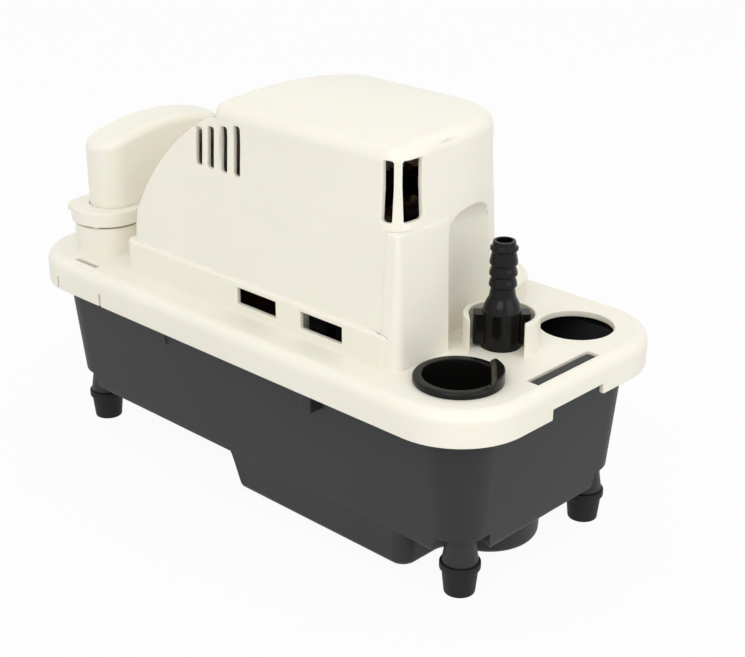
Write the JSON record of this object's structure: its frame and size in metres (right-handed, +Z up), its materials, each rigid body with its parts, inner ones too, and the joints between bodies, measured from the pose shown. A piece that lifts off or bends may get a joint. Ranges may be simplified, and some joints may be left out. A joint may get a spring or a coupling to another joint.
{
  "type": "condensate pump",
  "caption": "Tank-type condensate pump: stepped tank on rubber feet, moulded cover with motor shroud, float switch tower, barbed check valve and top inlets.",
  "frame": {"origin": "bottom centre of the bounding box, on the floor under the feet", "axes": "+X along the length towards the discharge, +Y towards the far long side, +Z up"},
  "size_m": [0.28, 0.1368, 0.1805],
  "materials": {
    "cream_plastic": "satin moulded",
    "tank_plastic": "fine moulded grain",
    "black_plastic": "moulded",
    "foot_rubber": "moulded",
    "seal_rubber": "smooth",
    "steel": "turned",
    "lamination": "stacked sheet",
    "copper_wire": "enamelled",
    "bearing_bronze": "sintered",
    "white_plastic": "moulded",
    "steel_ball": "polished"
  },
  "bodies": {
    "tank": {"tank": "tank_plastic", "rubber_foot_1": "foot_rubber", "rubber_foot_2": "foot_rubber", "rubber_foot_3": "foot_rubber", "rubber_foot_4": "foot_rubber"},
    "cover": {"cover": "cream_plastic", "base_plate": "black_plastic", "plate_screws": "steel", "stator_stack": "lamination", "coil_bobbin": "white_plastic", "coil_winding": "copper_wire", "lower_bracket": "steel", "upper_bracket": "steel", "lower_bush": "bearing_bronze", "upper_bush": "bearing_bronze", "motor_screws": "steel", "pump_column": "black_plastic", "pump_casing": "black_plastic", "suction_strainer": "black_plastic", "discharge_pipe": "black_plastic", "cord_grommet": "black_plastic"},
    "rotor": {"motor_shaft": "steel", "rotor_core": "lamination", "cooling_fan": "black_plastic", "slinger": "seal_rubber", "impeller": "black_plastic"},
    "inlet_plug": {"inlet_plug": "black_plastic"},
    "check_valve": {"valve_body": "black_plastic", "valve_o_ring": "seal_rubber"},
    "valve_ball": {"valve_ball": "steel_ball"},
    "switch_housing": {"switch_cap": "cream_plastic", "switch_base": "cream_plastic", "switch_o_ring": "seal_rubber", "microswitch": "black_plastic", "pivot_pin": "steel"},
    "float": {"float_arm": "black_plastic", "float": "white_plastic"},
    "push_rod": {"push_rod": "white_plastic"},
    "switch_leaf": {"switch_leaf": "steel"}
  },
  "joints": [
    {"name": "cover_lift", "type": "slide", "parent": "tank", "child": "cover", "axis": [0, 0, 1], "range_m": [0, 0.12]},
    {"name": "rotor_spin", "type": "hinge", "parent": "cover", "child": "rotor", "pos_m": [0.041, 0, 0.1], "axis": [0, 0, 1], "continuous": true},
    {"name": "plug_lift", "type": "slide", "parent": "cover", "child": "inlet_plug", "axis": [0, 0, 1], "range_m": [0, 0.03]},
    {"name": "valve_twist", "type": "hinge", "parent": "cover", "child": "check_valve", "pos_m": [0.0995, 0, 0.09], "axis": [0, 0, 1], "range_deg": [0, 40]},
    {"name": "ball_lift", "type": "slide", "parent": "check_valve", "child": "valve_ball", "axis": [0, 0, 1], "range_m": [0, 0.005]},
    {"name": "switch_twist", "type": "hinge", "parent": "cover", "child": "switch_housing", "pos_m": [-0.1095, -0.038, 0.1], "axis": [0, 0, 1], "range_deg": [0, 25]},
    {"name": "float_swing", "type": "hinge", "parent": "switch_housing", "child": "float", "pos_m": [-0.11516, -0.04366, 0.056], "axis": [0.7071, -0.7071, 0], "range_deg": [0, 20]},
    {"name": "push_rod_lift", "type": "slide", "parent": "switch_housing", "child": "push_rod", "axis": [0, 0, 1], "range_m": [0, 0.0029]},
    {"name": "leaf_swing", "type": "hinge", "parent": "switch_housing", "child": "switch_leaf", "pos_m": [-0.1095, -0.0156, 0.1248], "axis": [-1, 0, 0], "range_deg": [0, 7]}
  ],
  "couplings": [
    {"joint": "push_rod_lift", "follows": "float_swing", "m_per_rad": 0.0083},
    {"joint": "leaf_swing", "follows": "float_swing", "ratio": 0.344}
  ]
}
